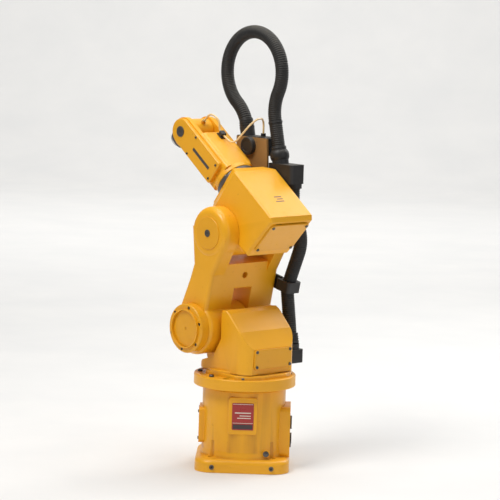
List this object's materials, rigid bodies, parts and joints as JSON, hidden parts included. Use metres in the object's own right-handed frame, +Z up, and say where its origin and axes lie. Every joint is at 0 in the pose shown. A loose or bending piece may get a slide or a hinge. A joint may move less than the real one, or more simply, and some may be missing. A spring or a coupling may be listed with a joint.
{
  "type": "six-axis robot arm",
  "caption": "Small yellow six-axis industrial robot arm with a turning base, a yoked upper arm, a rolling forearm, a pitching wrist, a tool flange and a black hose loop.",
  "frame": {"origin": "centre of the foot's underside, on the axis the whole arm turns about", "axes": "+Z up, +X the front of the base (the connector panel is on -X); the arm is stored turned 46 degrees towards -Y"},
  "size_m": [0.3673, 0.389, 1.1072],
  "materials": {
    "yellow_paint": "satin",
    "screw_steel": "dark oxide",
    "machined_steel": "machined",
    "dark_metal": "satin",
    "motor_black": "satin",
    "bronze_paint": "satin",
    "black_plastic": "matte",
    "hose_black": "matte",
    "pulley_alloy": "machined",
    "brass_fitting": "satin",
    "air_tube": "gloss",
    "label_red": "satin"
  },
  "bodies": {
    "base": {"base_casting": "yellow_paint", "base_screws": "screw_steel", "battery_cover": "yellow_paint", "battery_pack": "motor_black", "connector_panel": "dark_metal", "panel_connectors": "dark_metal", "ground_stud": "screw_steel", "j1_motor": "motor_black", "j1_reducer": "machined_steel", "j1_seal": "hose_black", "rating_plate": "label_red"},
    "turret": {"turret_casting": "yellow_paint", "turret_gland": "black_plastic", "turret_rear_cover": "yellow_paint", "turret_screws": "screw_steel", "j1_hub": "machined_steel", "j2_motor": "motor_black", "j2_reducer": "machined_steel", "j2_trunnion": "machined_steel", "lower_hoses": "hose_black"},
    "upper_arm": {"upper_arm_left": "yellow_paint", "upper_arm_right": "yellow_paint", "arm_crossbeam": "yellow_paint", "arm_screws": "screw_steel", "arm_tie_bolts": "screw_steel", "j2_cap": "yellow_paint", "j2_cap_lid": "yellow_paint", "j2_cap_right": "yellow_paint", "j3_caps": "yellow_paint", "j3_reducer": "machined_steel", "j3_pin": "machined_steel", "hose_clamp": "black_plastic", "mid_hose": "hose_black"},
    "elbow": {"elbow_casting": "yellow_paint", "elbow_inlet": "black_plastic", "elbow_rear_cover": "yellow_paint", "elbow_screws": "screw_steel", "j3_motor": "motor_black", "j4_motor": "motor_black", "j4_reducer": "machined_steel", "j4_ring": "dark_metal", "junction_block": "black_plastic", "junction_bracket": "bronze_paint", "hose_loop": "hose_black", "air_tube_a": "air_tube"},
    "forearm": {"forearm_casting": "yellow_paint", "forearm_covers": "yellow_paint", "forearm_cover_screws": "screw_steel", "j5_gearmotor": "motor_black", "j5_belt": "hose_black", "tube_clip": "black_plastic", "air_tube_b": "air_tube"},
    "j5_drive": {"j5_drive_pulley": "pulley_alloy"},
    "wrist": {"wrist_casting": "yellow_paint", "wrist_air_fitting": "brass_fitting", "j5_reducer": "machined_steel", "j5_pulley": "pulley_alloy", "j6_motor": "motor_black", "j6_bearing_cap": "dark_metal"},
    "flange": {"tool_flange": "machined_steel"}
  },
  "joints": [
    {"name": "j1_turn", "type": "hinge", "parent": "base", "child": "turret", "pos_m": [0, 0, 0.2], "axis": [0, 0, 1], "range_deg": [-114, 206]},
    {"name": "j2_lean", "type": "hinge", "parent": "turret", "child": "upper_arm", "pos_m": [0.0521, -0.05395, 0.35], "axis": [0.7193, 0.6947, 0], "range_deg": [-20, 95], "deforming": ["lower_hoses"]},
    {"name": "j3_bend", "type": "hinge", "parent": "upper_arm", "child": "elbow", "pos_m": [0.01599, -0.01656, 0.59454], "axis": [-0.7193, -0.6947, 0], "range_deg": [-90, 46], "deforming": ["mid_hose"]},
    {"name": "j4_roll", "type": "hinge", "parent": "elbow", "child": "forearm", "pos_m": [0.03525, -0.0365, 0.7156], "axis": [0.5548, -0.5745, 0.6018], "range_deg": [-190, 190], "deforming": ["air_tube_a"]},
    {"name": "j5_pitch", "type": "hinge", "parent": "forearm", "child": "wrist", "pos_m": [0.14343, -0.14853, 0.83295], "axis": [0.7193, 0.6947, 0], "range_deg": [-169, 55], "deforming": ["air_tube_b"]},
    {"name": "j5_drive_spin", "type": "hinge", "parent": "forearm", "child": "j5_drive", "pos_m": [0.11172, -0.04371, 0.75953], "axis": [0.7193, 0.6947, 0], "range_deg": [-272, 92]},
    {"name": "j6_spin", "type": "hinge", "parent": "wrist", "child": "flange", "pos_m": [0.18913, -0.19585, 0.80901], "axis": [0.6528, -0.676, -0.342], "range_deg": [-360, 360]}
  ],
  "couplings": [
    {"joint": "j5_drive_spin", "follows": "j5_pitch", "ratio": 1.5714}
  ]
}
